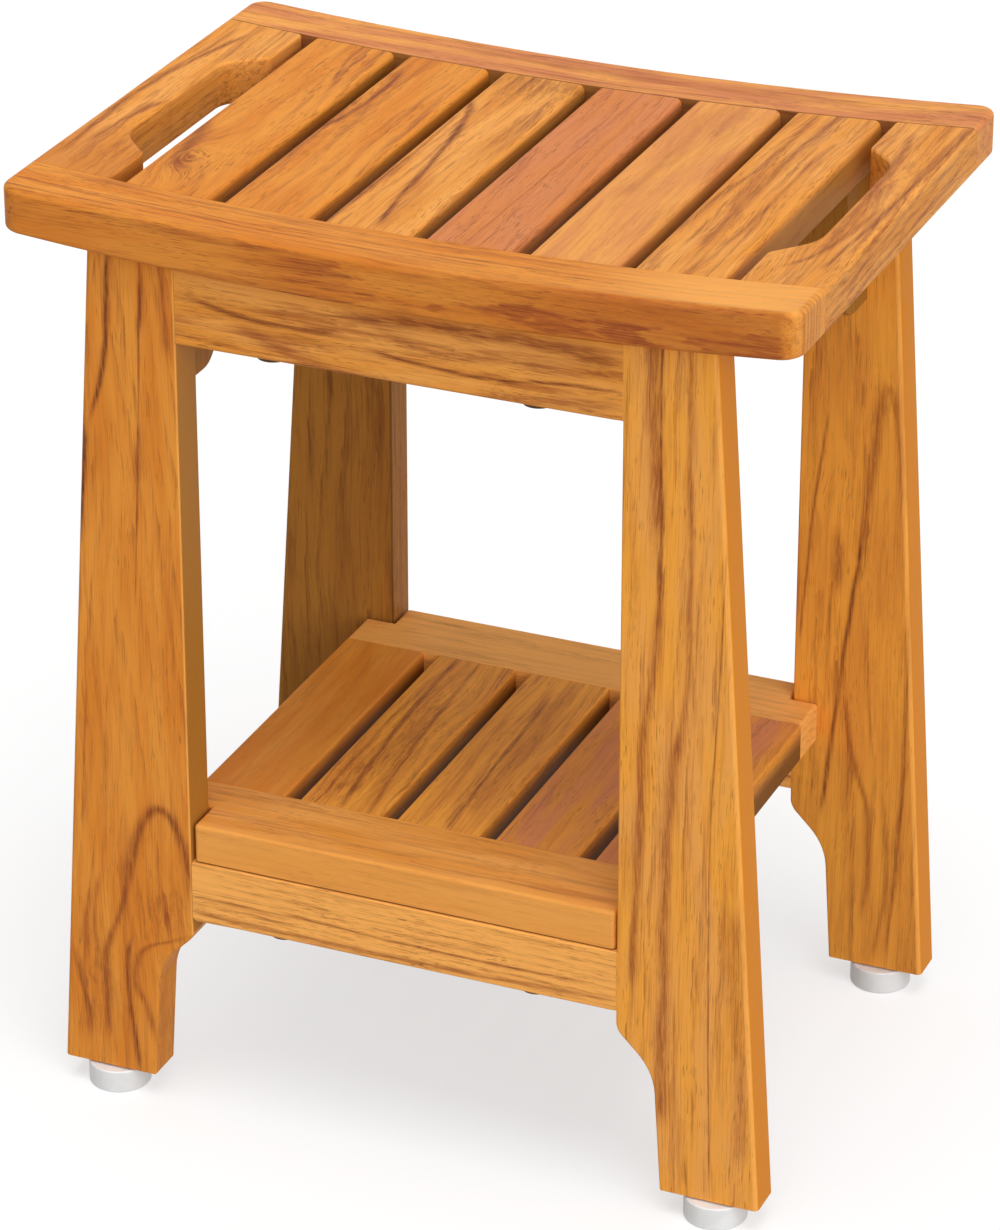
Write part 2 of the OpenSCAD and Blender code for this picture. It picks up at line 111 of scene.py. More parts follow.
def pick_edges(piece, where, sharp):
    """Selects the edges sharper than sharp degrees whose middle passes where(x, y, z)."""
    select_only(piece)
    bpy.ops.object.mode_set(mode="EDIT")
    bpy.ops.mesh.select_mode(type="EDGE")
    bpy.ops.mesh.select_all(action="DESELECT")
    mesh = bmesh.from_edit_mesh(piece.data)
    found = 0
    for edge in mesh.edges:
        middle = (edge.verts[0].co + edge.verts[1].co) / 2 / MM
        if math.degrees(edge.calc_face_angle(0)) > sharp and where(*middle):
            edge.select_set(True)
            found += 1
    bmesh.update_edit_mesh(piece.data)
    return found


def ease(piece, radius, where, segments=4, sharp=30):
    """Rounds a board's sharp edges, as a maker's router or sandpaper does."""
    if pick_edges(piece, where, sharp):
        bpy.ops.mesh.bevel(
            offset=radius * MM, segments=segments, profile=0.5, affect="EDGES",
            clamp_overlap=False, loop_slide=False,
        )
    bpy.ops.object.mode_set(mode="OBJECT")


def split_at(piece, height):
    """Cuts a ring of edges round a piece at a height, without parting it."""
    select_only(piece)
    bpy.ops.object.mode_set(mode="EDIT")
    bpy.ops.mesh.select_all(action="SELECT")
    bpy.ops.mesh.bisect(plane_co=(0, 0, height * MM), plane_no=(0, 0, 1))
    bpy.ops.object.mode_set(mode="OBJECT")


def near(value, *levels):
    """Whether a value lies on one of the levels."""
    return min(abs(value - level) for level in levels) < CLOSE


def smooth_faces(piece):
    """Shades a piece's rounded edges smoothly and its flat faces flat."""
    select_only(piece)
    bpy.ops.object.shade_smooth_by_angle(angle=math.radians(SMOOTH_ANGLE))
    piece.modifiers.new("Flat faces", "WEIGHTED_NORMAL").keep_sharp = True
    bpy.ops.object.modifier_apply(modifier="Flat faces")
    corners = piece.modifiers.new("Many-cornered faces", "TRIANGULATE")
    corners.min_vertices = 5
    corners.ngon_method = "BEAUTY"
    corners.keep_custom_normals = True
    bpy.ops.object.modifier_apply(modifier="Many-cornered faces")


def place_piece(piece, node, material, body):
    """Gives a finished piece its material and its place among the bench's parts."""
    select_only(piece)
    bpy.ops.object.mode_set(mode="EDIT")
    bpy.ops.mesh.select_all(action="SELECT")
    bpy.ops.mesh.remove_doubles(threshold=2 * SAME_POINT)
    bpy.ops.object.mode_set(mode="OBJECT")
    smooth_faces(piece)
    piece.data.materials.clear()
    piece.data.materials.append(material)
    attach(piece, body)
    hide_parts(node)


# ---------------------------------------------------------------- shader sums


class Value:
    """What a shader node gives out. Sums written with it add the nodes that work them out."""

    def __init__(self, finish, socket):
        self.finish = finish
        self.socket = socket

    def math(self, operation, *others):
        values = dict(enumerate((self, *others)))
        return self.finish.node("Math", {"operation": operation}, values)

    def __add__(self, other):
        return self.math("ADD", other)

    __radd__ = __add__

    def __sub__(self, other):
        return self.math("SUBTRACT", other)

    def __rsub__(self, other):
        return self.math("MULTIPLY_ADD", -1.0, other)

    def __mul__(self, other):
        return self.math("MULTIPLY", other)

    __rmul__ = __mul__

    def __truediv__(self, other):
        return self.math("DIVIDE", other)

    def __neg__(self):
        return self * -1.0

    def rise(self, low, high):
        """0 below low and 1 above high, with a smooth slope between them."""
        settings = {"interpolation_type": "SMOOTHSTEP"}
        values = {"Value": self, "From Min": low, "From Max": high}
        return self.finish.node("MapRange", settings, values)


# The length and width of board, in millimetres, that a curve node's range from 0 to 1 covers
BOARD_REACH = 500.0
BOARD_SPAN = 100.0


class Finish:
    """A material or world, whose nodes all come from node()."""

    def __init__(self, owner):
        owner.use_nodes = True
        self.owner = owner
        self.tree = owner.node_tree
        self.tree.nodes.clear()

    def node(self, kind, settings=None, inputs=None, output=0):
        """Adds a node: its settings first, then the numbers or links of its sockets."""
        made = self.tree.nodes.new("ShaderNode" + kind)
        for name, value in (settings or {}).items():
            setattr(made, name, value)
        for name, value in (inputs or {}).items():
            self.feed(made, name, value)
        return Value(self, made.outputs[output] if made.outputs else None)

    def feed(self, node, name, value):
        if isinstance(value, Value):
            self.tree.links.new(value.socket, node.inputs[name])
        else:
            node.inputs[name].default_value = value

    def blend(self, amount, below, above):
        """One colour laid over another by an amount from 0 to 1."""
        settings = {"data_type": "RGBA", "clamp_factor": True}
        colours = {6: below, 7: above}
        inputs = {i: c if isinstance(c, Value) else (*c, 1.0) for i, c in colours.items()}
        return self.node("Mix", settings, {0: amount, **inputs}, 2)

    def course(self, along, places):
        """A smooth line through places (along, across) on a board, in millimetres."""
        bent = self.node("FloatCurve", None, {"Value": along / BOARD_REACH + 0.5})
        mapping = bent.socket.node.mapping
        line = mapping.curves[0]
        ordered = [
            (place[0] / BOARD_REACH + 0.5, place[1] / BOARD_SPAN + 0.5) for place in sorted(places)
        ]
        line.points[0].location = ordered[0]
        line.points[1].location = ordered[-1]
        for place in ordered[1:-1]:
            line.points.new(*place)
        mapping.update()
        return (bent - 0.5) * BOARD_SPAN

    def bump(self, height, strength, depth_mm):
        values = {"Height": height, "Strength": strength, "Distance": depth_mm * MM}
        return self.node("Bump", None, values)

    def surface(self, fixed, **varying):
        """Closes a material with a shader; what is fixed is set on the shader's own sockets."""
        links = {name.replace("_", " "): value for name, value in varying.items()}
        shader = self.node("BsdfPrincipled", None, {**fixed, **links})
        self.node("OutputMaterial", None, {"Surface": shader})
        return self.owner


# ---------------------------------------------------------------- teak

# The tones of oiled teak, from its palest sapwood to its darkest veins, and of the painted shade on
# some of its faces
CREAM = (1.0, 0.460, 0.110)
STRAW = (0.88, 0.380, 0.084)
WHEAT = (0.93, 0.385, 0.052)
GOLD = (0.81, 0.310, 0.046)
HONEY = (0.73, 0.238, 0.029)
# A deep ochre, used only as painted shade on the right legs' outer side faces, against the sheen
# they take at a slant
OCHRE_PAINTED_SHADE = (0.73, 0.238, 0.006)
SALMON = (0.68, 0.235, 0.084)
AMBER = (0.54, 0.160, 0.022)
OLIVE = (0.40, 0.170, 0.024)
RUSSET = (0.34, 0.072, 0.021)
UMBER = (0.12, 0.038, 0.012)
# A dark moss, used only as painted shade: in the gaps between slats, in creases and on faces under
# the seat
MOSS_PAINTED_SHADE = (0.09, 0.040, 0.010)

# A board's look, where its own figure doesn't say otherwise. spacing is the width of a year's
# growth, and heart is where the log's middle lies, across the board and through it. rise is how
# fast the rings climb along the board, and wander how far the grain strays. lines, streaks and
# pores say how dark these are. knots are (across, along, width, length, height), where rings
# bend. clouds are (across, along, width, length, strength) of bold figure. veins are (width,
# strength, darkness, places), each a line through places (along, across), soft and brown at no
# darkness; a board whose face is upright has its veins drawn on "through". arches are (across,
# along, spread, width, strength, darkness, length), the top and legs of a ring cut through at a
# slant. The tones laid last are (strength, tone, limits), each limit an (axis, from, to) over
# which a side of the board takes that tone: some are the wood's own tone, the rest painted shade
# and painted highlights. outward is measured square to a leg's leaning edge.
PLAIN_FIGURE = dict(light=HONEY, deep=AMBER, line=RUSSET, vein=UMBER, spacing=5.0, heart=(12, 45),
                    rise=0.03, wander=5.0, lines=0.6, broad=1.0, streaks=0.3, pores=0.5,
                    pore_length=8.0, drawn_on="across", knots=(), clouds=(), veins=(), arches=(),
                    shades=())

# How far a leg's outer edge leans outwards for each millimetre that it comes down
LEG_LEAN = 0.066
# How far before and beyond its ends a drawn vein or an arch's leg fades
VEIN_FADE = 8
ARCH_FADE = 12

AXES = {"x": Vector((1, 0, 0)), "y": Vector((0, 1, 0)), "z": Vector((0, 0, 1))}


def board_turn(grain):
    """Turns a board's own across, through and along into the bench's axes."""
    along = AXES[grain]
    across = AXES["y"] if grain == "x" else AXES["x"]
    return Matrix((across, along.cross(across), along)).transposed().to_euler()


class Teak(Finish):
    """Oiled teak, as solid wood, so that its figure runs on round every edge of the board."""

    def __init__(self, name, centre, grain, seed, figure):
        super().__init__(bpy.data.materials.new(name))
        self.look = SimpleNamespace(**{**PLAIN_FIGURE, **figure})
        self.seed = seed
        mapping = {
            "Vector": self.node("TexCoord", output="Object"),
            "Location": centre * MM,
            "Rotation": board_turn(grain),
            "Scale": (MM, MM, MM),
        }
        own = self.node("Mapping", {"vector_type": "TEXTURE"}, mapping)
        self.across, self.through, self.along = (
            self.node("SeparateXYZ", None, {"Vector": own}, axis) for axis in "XYZ"
        )
        self.depths = {
            "across": self.across,
            "through": self.through,
            "along": self.along,
            "outward": self.across + self.along * LEG_LEAN,
        }
        self.grain_line = self.bent_grain()
        self.latewood = self.rings()
        self.find_marks()

    def noise(self, width, length, detail, shift, roughness=0.5, beside=None):
        """Noise whose patches are so many millimetres wide and long."""
        place = {
            "X": (beside or self.across) / width + (self.seed * 7.3 + shift),
            "Y": self.through / width,
            "Z": self.along / length + self.seed * 3.1,
        }
        values = {"Scale": 1.0, "Detail": detail, "Roughness": roughness}
        values["Vector"] = self.node("CombineXYZ", None, place)
        return self.node("TexNoise", None, values)

    def grained(self, width, length, detail, shift, roughness=0.5):
        """Noise that follows the grain where it strays and bends."""
        return self.noise(width, length, detail, shift, roughness, self.grain_line)

    def spot(self, across, along, width, length):
        """1 at a place on the board, fading to 0 over a width and a length."""
        u = (self.across - across) / width
        v = (self.along - along) / length
        return (-(u * u + v * v)).math("EXPONENT")

    def bent_grain(self):
        """The grain's line, which strays from the board's own and bends round its knots."""
        line = self.across + (self.noise(70, 130, 2.0, 3.1) - 0.5) * (self.look.wander * 2.6)
        for *place, height in self.look.knots:
            line = line + self.spot(*place) * height
        return line

    def rings(self):
        """The dark part of each growth ring round the log's heart."""
        look = self.look
        ripple = (self.grained(5, 24, 3.0, 5.7, 0.6) - 0.5) * (look.spacing * 0.8)
        u = self.grain_line - look.heart[0]
        v = self.through + look.heart[1]
        radius = (u * u + v * v).math("SQRT")
        years = (radius + self.along * look.rise + ripple) / look.spacing + self.seed
        season = years.math("FRACT")
        growth = self.node("TexWhiteNoise", {"noise_dimensions": "1D"}, {"W": years.math("FLOOR")})
        late = season.rise(0.35, 0.90) * (1.0 - season.rise(0.93, 1.0))
        return late * (growth * 0.75 + 0.25)

    def find_marks(self):
        """Fibres, hairlines, dashes, pores and strokes, drawn out along the grain."""
        pore_length = self.look.pore_length
        self.fibre = self.grained(0.9, 40, 3.0, 17.9, 0.7) - 0.5
        self.hair = self.grained(0.6, 45, 2.0, 29.3, 0.6).rise(0.52, 0.68)
        self.bristle = self.grained(1.1, 13, 3.0, 97.1, 0.65).rise(0.36, 0.58)
        self.dash = self.grained(0.7, pore_length * 2.2, 2.0, 23.3).rise(0.46, 0.60)
        self.pore = self.grained(0.5, pore_length, 1.0, 31.7).rise(0.60, 0.68)
        brush = self.grained(2.2, 42, 3.0, 41.3, 0.6).rise(0.38, 0.62)
        self.strokes = self.latewood * brush * (self.dash * 0.4 + 0.6)

    def ground(self):
        """The wood's broad tones, with its hairlines, streaks and rings over them."""
        look = self.look
        tone = self.grained(12, 80, 3.0, 11.3).rise(0.34, 0.66) * look.broad
        streak = self.grained(4.5, 75, 4.0, 91.7, 0.62).rise(0.52, 0.68)
        colour = self.blend(tone + self.fibre * (0.9 * look.lines), look.light, look.deep)
        colour = self.blend(self.hair * (0.45 * look.lines), colour, look.line)
        colour = self.blend(streak * (look.streaks * 0.8), colour, look.line)
        colour = self.blend(self.strokes * (look.lines * 0.9), colour, look.line)
        return self.blend(self.strokes * self.dash * look.lines * 0.5, colour, look.vein)

    def drawn_vein(self, colour, distance, width, strength, darkness, reach):
        """A line of dark growth, soft at its sides and darkest in its middle."""
        waver = (self.noise(40, 38, 2.0, 71.3 + width) - 0.5) * (width * 1.6)
        thickness = self.noise(50, 30, 2.0, 77.7 + width) * (width * 1.5) + width * 0.25
        beside = (distance + waver + self.fibre * (width * 1.6)) / thickness
        worn = self.bristle * 0.45 + 0.60
        soft = (-(beside * beside)).math("EXPONENT") * worn * reach * strength
        colour = self.blend(soft * (self.hair * 0.25 + 0.70), colour, self.look.line)
        if darkness:
            core = soft * soft * (self.dash * 0.35 + 0.55)
            colour = self.blend(core * darkness, colour, self.look.vein)
        return colour

    def with_veins(self, colour):
        for width, strength, darkness, places in self.look.veins:
            first = min(places)[0]
            last = max(places)[0]
            begun = self.along.rise(first - VEIN_FADE, first + VEIN_FADE)
            ended = self.along.rise(last - VEIN_FADE, last + VEIN_FADE)
            reach = begun * (1.0 - ended)
            distance = self.depths[self.look.drawn_on] - self.course(self.along, places)
            colour = self.drawn_vein(colour, distance, width, strength, darkness, reach)
        return colour

    def with_arches(self, colour):
        for across, along, spread, width, strength, darkness, length in self.look.arches:
            side = self.across - across
            fall = self.along + (side * side / spread - along)
            slant = (side * side * (4.0 / spread / spread) + 1.0).math("SQRT")
            foot = along - length
            reach = self.along.rise(foot - ARCH_FADE, foot + ARCH_FADE)
            colour = self.drawn_vein(colour, fall / slant, width, strength, darkness, reach)
        return colour

    def with_clouds(self, colour):
        for *place, strength in self.look.clouds:
            curl = self.grained(2.6, 11.0, 4.0, 61.1 + place[0], 0.65).rise(0.44, 0.62)
            bold = self.spot(*place) * strength
            colour = self.blend(bold * (curl * 0.35 + self.latewood * 0.75), colour, self.look.line)
            dark = bold * (curl * 0.5 + self.latewood * 0.5) * self.dash
            colour = self.blend(dark * 0.7, colour, self.look.vein)
        return colour

    def with_pores(self, colour):
        open_grain = self.grained(11, 40, 2.0, 83.9).rise(0.38, 0.66)
        fleck = self.noise(0.5, 3.2, 1.0, 53.9).rise(0.66, 0.76)
        colour = self.blend(self.pore * open_grain * self.look.pores, colour, self.look.vein)
        return self.blend(fleck * (self.look.pores * 0.3), colour, STRAW)

    # Lays each tone over the sides its limits cover: the wood's own tones, and painted shade and
    # painted highlights
    def with_tones_and_painted_light(self, colour):
        for strength, shade, *limits in self.look.shades:
            for axis, start, end in limits:
                strength = self.depths[axis].rise(start, end) * strength
            colour = self.blend(strength, colour, shade)
        return colour

    def oiled(self):
        """Lays the whole figure, one part over another, painted shade and highlights last, and
        gives the wood its sheen and relief.
        """
        colour = self.with_veins(self.ground())
        colour = self.with_clouds(self.with_arches(colour))
        colour = self.with_tones_and_painted_light(self.with_pores(colour))
        relief = self.fibre * 0.6 - self.pore * 0.8 - self.strokes * 0.3
        return self.surface(
            {"IOR": 1.46, "Specular IOR Level": 0.09},
            Base_Color=colour,
            Roughness=0.50 + self.fibre * 0.18 + self.pore * 0.12 - self.strokes * 0.06,
            Normal=self.bump(relief, 0.35, 0.12),
        )


def teak_for(node, grain, seed, figure):
    """Teak centred on a node, with the figure that its board shows."""
    return Teak(f"teak_{node}", middle_mm(node), grain, seed, figure).oiled()


# ---------------------------------------------------------------- seat

# How far a joint's edges, the seat's lower and upper edges, its notches and its slats are rounded
JOINT_EASE = 0.4
LOWER_EASE = 2.0
EDGE_EASE = 3.0
NOTCH_EASE = 1.6
SLAT_EASE = 1.5

# A level between the seat's underside and its top, wherever along the dish, and a level just
# above its underside at the ends
SEAT_MIDDLE = 452.0
SEAT_LOWER = 447.0
# How far in from the seat's long sides its rounded corners reach, and a little more
SEAT_CORNER = 11.0
# How wide a band along each of the seat's ends holds its edges, and none of the notch's
END_BAND = 1.0

seat_shoulder = abs(box_mm("seat_front_rail")[1].y)
seat_end_x = box_mm("seat_front_rail")[1].x

RAIL_FIGURES = {
    "front": dict(light=GOLD, deep=HONEY, spacing=4.2, heart=(-70, 8), lines=0.8, rise=0.008,
                  wander=4, streaks=0.45, clouds=((-15, 130, 4, 60, 0.5), (-16, 60, 3, 60, 0.4)),
                  veins=((1.0, 0.6, 0.4, ((-60, 3), (190, 0))),
                         (1.0, 0.6, 0.4, ((-180, -3), (40, -5))),
                         (1.2, 0.5, 0.0, ((-170, 12), (120, 9))),
                         (0.9, 1.0, 0.5, ((184, -9.5), (210, -9.5))),
                         (0.7, 1.0, 0.6, ((184, -6), (210, -6))),
                         (0.8, 1.0, 0.5, ((184, -2), (210, -2))),
                         (0.6, 1.0, 0.6, ((184, 1.5), (210, 1.5))),
                         (0.8, 1.0, 0.5, ((184, 5), (210, 5))),
                         (0.6, 1.0, 0.6, ((184, 8.5), (210, 8.5)))),
                  shades=((0.65, CREAM, ("along", 60, 150), ("across", -15, -12),
                           ("along", 189, 186)),
                          (0.3, CREAM, ("along", 187, 189)),
                          (0.22, RUSSET, ("across", -12.5, -15.5), ("along", 187, 180)),
                          (0.22, RUSSET, ("across", -12.5, -15.5), ("along", 20, 110),
                           ("along", 187, 180)))),
    "back": dict(light=STRAW, deep=SALMON, spacing=5.5, heart=(-30, 30), lines=0.7, rise=0.015,
                 streaks=0.4, veins=((3.0, 0.5, 0.0, ((-70, 2), (40, 2))),
                                     (3.5, 0.55, 0.0, ((10, 3), (130, 0)))),
                 # The inner face, at the ends of the slats' gaps, is painted towards moss: painted
                 # shade
                 shades=((0.65, MOSS_PAINTED_SHADE, ("across", -15.7, -16.3), ("along", 189, 188),
                          ("along", -189, -188)),)),
}


def at_seat_end(x):
    """Whether a place is on one of the seat's ends, or on the first step of its rounding."""
    return abs(x) > seat_end_x - 2 * CLOSE


def at_seat_joint(x, y, z):
    """Whether a place is on the joint between a long rail and a slat or end rail, and in sight."""
    return near(abs(y), seat_shoulder) and (z > SEAT_MIDDLE or at_seat_end(x))


def seat_rail(row, seed):
    """A long rail of the seat, rounded all round its outer side."""
    node = f"seat_{row}_rail"
    low, high = box_mm(node)
    outer = max(abs(low.y), abs(high.y))
    piece = board_from(node, f"seat_{row}_board")

    def outside(x, y):
        beside = abs(y) > outer - SEAT_CORNER or at_seat_end(x)
        return beside and abs(y) > seat_shoulder + CLOSE

    ease(piece, EDGE_EASE, lambda x, y, z: z > SEAT_MIDDLE and outside(x, y))
    ease(piece, LOWER_EASE, lambda x, y, z: z < SEAT_MIDDLE and outside(x, y))
    ease(piece, JOINT_EASE, at_seat_joint, segments=2)
    place_piece(piece, node, teak_for(node, "x", seed, RAIL_FIGURES[row]), "frame")


END_FIGURES = {
    "left": dict(light=STRAW, deep=GOLD, spacing=5.0, heart=(-8, 26), lines=0.9, streaks=0.4,
                 clouds=((6, -74, 11, 20, 0.9),),
                 veins=((1.6, 0.9, 0.7, ((-84, -12), (-6, -15), (58, -8), (85, -2))),
                        (1.5, 0.8, 0.6, ((-65, -7), (-28, -4), (-8, 1))),
                        (1.2, 0.7, 0.5, ((2, -19), (47, -12), (91, -9)))),
                 shades=((0.5, AMBER, ("along", -30, -80)),)),
    "right": dict(light=STRAW, deep=GOLD, spacing=4.5, heart=(6, 24), lines=0.9, wander=9,
                  streaks=0.6, clouds=((3, 20, 7, 50, 1.0), (17, -30, 4, 70, 0.8)),
                  veins=((2.5, 0.8, 0.4, ((-61, 3), (-6, 1), (44, -1), (85, -5))),
                         (2.0, 0.8, 0.5, ((-81, -6), (-52, 6), (-10, 10))),
                         (1.6, 0.9, 0.6, ((-80, 11), (7, 15), (66, 17), (123, 17))))),
}


def seat_end_rail(side, seed):
    """An end rail of the seat, with its finger notch."""
    node = f"seat_end_rail_{side}"
    end = seat_end_x - END_BAND
    piece = board_from(node, f"seat_end_board_{side}")

    def free(y):
        return abs(y) < seat_shoulder - CLOSE

    ease(piece, EDGE_EASE, lambda x, y, z: z > SEAT_MIDDLE and free(y) and abs(x) > end)
    ease(piece, NOTCH_EASE, lambda x, y, z: z > SEAT_MIDDLE and free(y) and abs(x) < end)
    ease(piece, LOWER_EASE, lambda x, y, z: z < SEAT_LOWER and free(y))
    ease(piece, JOINT_EASE, at_seat_joint, segments=2)
    place_piece(piece, node, teak_for(node, "y", seed, END_FIGURES[side]), "frame")


# The slats' sides are painted darker below their tops, to olive and then moss: painted shade in the
# gaps between them. The last seat slat, whose side shows under the notch, takes a lighter painted
# shade.
SLAT_GAP_PAINTED_SHADE = ((0.30, OLIVE, ("through", -8.5, -5)), (0.75, MOSS_PAINTED_SHADE, ("through", -7, 2)))
NOTCH_SIDE_PAINTED_SHADE = ((0.65, OLIVE, ("through", -8.5, -5)),)
SLAT_FIGURES = [
    dict(light=HONEY, deep=GOLD, spacing=6, heart=(4, 16), rise=0.10, lines=0.5, pores=0.5,
         knots=((-10, -60, 9, 26, 14),), clouds=((-12, -60, 9, 26, 1.0), (12, 75, 6, 30, 1.0)),
         veins=((4.0, 0.9, 0.6, ((-74, -9), (-64, -11), (-35, -16), (-15, -20))),
                (1.2, 0.8, 0.5, ((53, 12), (88, 6), (105, 6))))),
    dict(light=GOLD, deep=HONEY, spacing=7, heart=(-24, 30), lines=0.6, pores=0.5, streaks=0.5,
         clouds=((-14, 45, 6, 40, 1.0), (-16, 10, 5, 50, 0.7)),
         veins=((1.8, 1.0, 0.8, ((-5, -23), (22, -14), (59, -13), (81, -15))),
                (2.0, 1.0, 0.9, ((69, -21), (104, -22))))),
    dict(light=STRAW, deep=GOLD, spacing=5.5, heart=(14, 24), lines=0.7,
         veins=((2.0, 1.0, 0.9, ((-92, 3), (-61, -1), (-20, -5), (31, -11), (59, -18))),
                (4.0, 0.35, 0.0, ((-98, 6), (-61, 3), (-30, -1))),
                (1.0, 0.8, 0.6, ((-94, -20), (-56, -19), (-7, -17), (41, -18)))),
         clouds=((6, 90, 18, 20, 1.0), (8, 95, 14, 14, 1.0), (13, 40, 5, 40, 0.7),
                 (-18, -60, 4, 50, 0.8)),
         shades=((0.20, OLIVE, ("along", 70, 95)),)),
    dict(light=SALMON, deep=HONEY, broad=0.4, spacing=3.5, heart=(-30, 60), lines=0.6, pores=0.6,
         streaks=0.3, veins=((0.8, 0.5, 0.3, ((-100, -2), (100, 2))),)),
    dict(light=STRAW, deep=SALMON, spacing=9, heart=(8, 70), lines=0.4, pores=0.25, broad=0.6,
         veins=((4.0, 0.45, 0.0, ((-22, -8), (17, -7), (74, -7), (103, -2))),)),
    dict(light=STRAW, deep=GOLD, spacing=4.5, heart=(0, 20), lines=0.7, wander=7, streaks=0.5,
         veins=((2.0, 0.8, 0.4, ((-59, -20), (-8, -16), (40, -11), (102, -10))),
                (2.4, 0.8, 0.4, ((-68, -2), (-3, -3), (62, -2), (108, 2))),
                (1.6, 0.7, 0.3, ((-68, 7), (-22, 9), (44, 8)))),),
]


def seat_slat(number, seed):
    """A slat of the seat, whose ends meet the long rails."""
    node = f"seat_slat_{number}"
    low, high = box_mm(node)
    piece = board_from(node, f"seat_slat_board_{number}")
    ease(piece, SLAT_EASE, lambda x, y, z: z < SEAT_MIDDLE and near(x, low.x, high.x)
         and abs(y) < seat_shoulder - CLOSE, segments=3)
    ease(piece, JOINT_EASE, at_seat_joint, segments=2)
    shades = NOTCH_SIDE_PAINTED_SHADE if number == 6 else SLAT_GAP_PAINTED_SHADE
    figure = dict(SLAT_FIGURES[number - 1])
    figure["shades"] = shades + figure.get("shades", ())
    place_piece(piece, node, teak_for(node, "y", seed, figure), "frame")


# ---------------------------------------------------------------- legs and what joins them

# How far the edges of the leg frames' boards are rounded
LEG_OUTER_EASE = 2.4
LEG_INNER_EASE = 1.2
APRON_EASE = 2.0
STRETCHER_LOWER_EASE = 1.6
STRETCHER_UPPER_EASE = 0.8
BLOCK_EASE = 0.9

# Levels above which the legs and the corner blocks meet the seat, and stay square
LEG_TOP = 438.0
BLOCK_TOP = 430.0
# How far from a leg's straight inner edge its outer edge always is, at the least
LEG_LEAST_WIDTH = 38.0
# How far from the middle of a leg's glide the rounding of its foot starts, clear of the hole
FOOT_HOLE = 7.0

stretcher_low, stretcher_high = box_mm("stretcher_front")
apron_bottom = box_mm("apron_front")[0].z
block_low, block_high = box_mm("corner_block_back_right")

